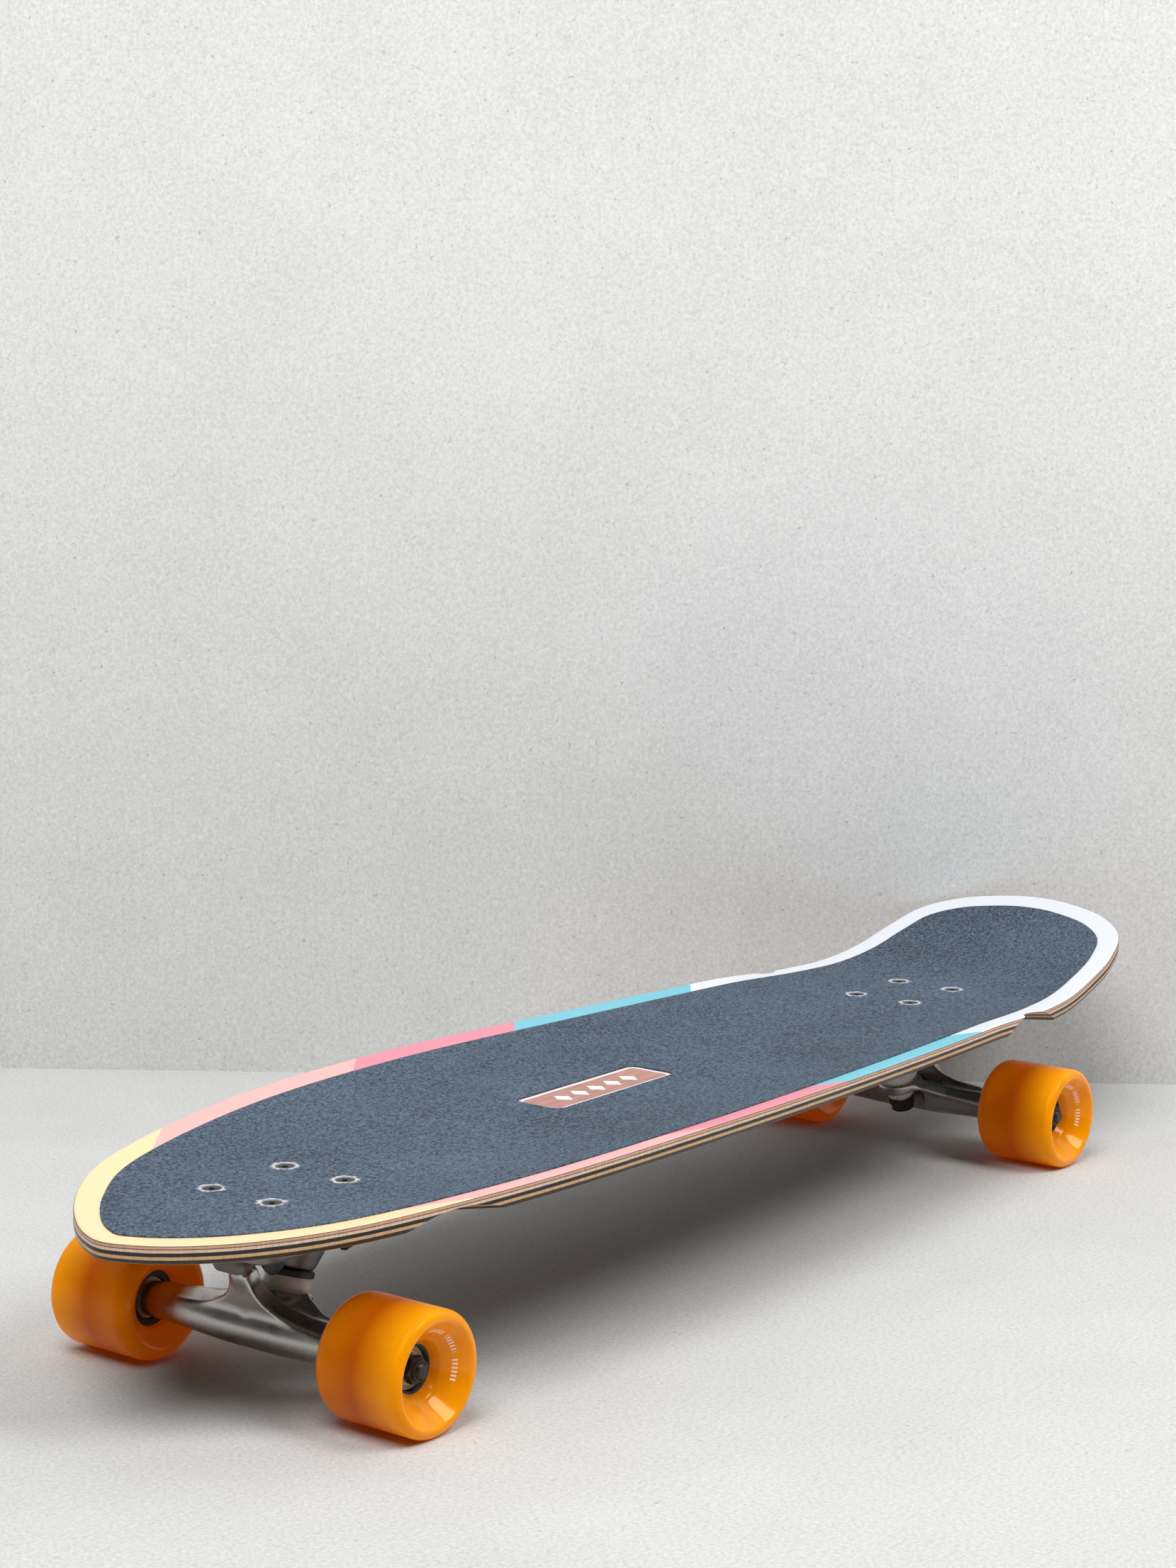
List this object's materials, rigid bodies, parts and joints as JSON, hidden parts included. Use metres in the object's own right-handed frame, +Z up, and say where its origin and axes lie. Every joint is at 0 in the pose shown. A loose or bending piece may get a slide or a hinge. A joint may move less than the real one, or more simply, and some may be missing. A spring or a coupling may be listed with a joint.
{
  "type": "longboard skateboard",
  "caption": "Kicktail longboard: a concave plywood deck with grip tape, trucks that steer as the deck leans, and soft urethane wheels on ball bearings.",
  "frame": {"origin": "on the floor under the middle of the deck", "axes": "+X points to the nose, +Y to the rider's left, +Z up"},
  "size_m": [0.9146, 0.2506, 0.1409],
  "materials": {
    "painted_deck": "painted plywood with bare striped plies at the rim",
    "grip_grit": "coarse sparkling grit",
    "black_rubber": "matte",
    "cast_aluminium": "matte cast",
    "tumbled_aluminium": "satin, tumbled",
    "bushing_urethane": "satin",
    "black_steel": "black zinc",
    "steel": "bright",
    "black_plastic": "satin",
    "amber_urethane": "glossy, translucent"
  },
  "bodies": {
    "board": {"deck": "painted_deck", "griptape": "grip_grit", "front_riser_pad": "black_rubber", "front_baseplate": "cast_aluminium", "front_pivot_cup": "black_plastic", "front_kingpin": "steel", "front_kingpin_nut": "black_steel", "front_top_washer": "black_steel", "front_bottom_washer": "steel", "front_top_bushing": "bushing_urethane", "front_bottom_bushing": "bushing_urethane", "front_deck_bolt_1": "black_steel", "front_deck_bolt_2": "black_steel", "front_deck_bolt_3": "black_steel", "front_deck_bolt_4": "black_steel", "front_deck_nut_1": "black_steel", "front_deck_nut_2": "black_steel", "front_deck_nut_3": "black_steel", "front_deck_nut_4": "black_steel", "rear_riser_pad": "black_rubber", "rear_baseplate": "cast_aluminium", "rear_pivot_cup": "black_plastic", "rear_kingpin": "steel", "rear_kingpin_nut": "black_steel", "rear_top_washer": "black_steel", "rear_bottom_washer": "steel", "rear_top_bushing": "bushing_urethane", "rear_bottom_bushing": "bushing_urethane", "rear_deck_bolt_1": "black_steel", "rear_deck_bolt_2": "black_steel", "rear_deck_bolt_3": "black_steel", "rear_deck_bolt_4": "black_steel", "rear_deck_nut_1": "black_steel", "rear_deck_nut_2": "black_steel", "rear_deck_nut_3": "black_steel", "rear_deck_nut_4": "black_steel"},
    "front_truck_hanger": {"front_hanger": "tumbled_aluminium", "front_axle": "steel", "front_left_bearing_spacer": "steel", "front_left_axle_nut": "black_steel", "front_right_bearing_spacer": "steel", "front_right_axle_nut": "black_steel"},
    "rear_truck_hanger": {"rear_hanger": "tumbled_aluminium", "rear_axle": "steel", "rear_left_bearing_spacer": "steel", "rear_left_axle_nut": "black_steel", "rear_right_bearing_spacer": "steel", "rear_right_axle_nut": "black_steel"},
    "front_left_rolling": {"front_left_wheel": "amber_urethane", "front_left_inner_bearing": "steel", "front_left_outer_bearing": "steel"},
    "front_right_rolling": {"front_right_wheel": "amber_urethane", "front_right_inner_bearing": "steel", "front_right_outer_bearing": "steel"},
    "rear_left_rolling": {"rear_left_wheel": "amber_urethane", "rear_left_inner_bearing": "steel", "rear_left_outer_bearing": "steel"},
    "rear_right_rolling": {"rear_right_wheel": "amber_urethane", "rear_right_inner_bearing": "steel", "rear_right_outer_bearing": "steel"}
  },
  "joints": [
    {"name": "front_steer", "type": "hinge", "parent": "board", "child": "front_truck_hanger", "pos_m": [0.3291, 0, 0.0428], "axis": [0.7483, 0, 0.6634], "range_deg": [-18, 18], "stiffness_Nm_per_rad": 30, "deforming": ["front_top_bushing", "front_bottom_bushing"]},
    {"name": "rear_steer", "type": "hinge", "parent": "board", "child": "rear_truck_hanger", "pos_m": [-0.2704, 0, 0.0428], "axis": [0.7483, 0, -0.6634], "range_deg": [-18, 18], "stiffness_Nm_per_rad": 30, "deforming": ["rear_top_bushing", "rear_bottom_bushing"]},
    {"name": "front_left_spin", "type": "hinge", "parent": "front_truck_hanger", "child": "front_left_rolling", "pos_m": [0.349, 0.09125, 0.032], "axis": [0, 1, 0], "continuous": true},
    {"name": "front_right_spin", "type": "hinge", "parent": "front_truck_hanger", "child": "front_right_rolling", "pos_m": [0.349, -0.09125, 0.032], "axis": [0, 1, 0], "continuous": true},
    {"name": "rear_left_spin", "type": "hinge", "parent": "rear_truck_hanger", "child": "rear_left_rolling", "pos_m": [-0.2903, 0.09125, 0.032], "axis": [0, 1, 0], "continuous": true},
    {"name": "rear_right_spin", "type": "hinge", "parent": "rear_truck_hanger", "child": "rear_right_rolling", "pos_m": [-0.2903, -0.09125, 0.032], "axis": [0, 1, 0], "continuous": true}
  ]
}
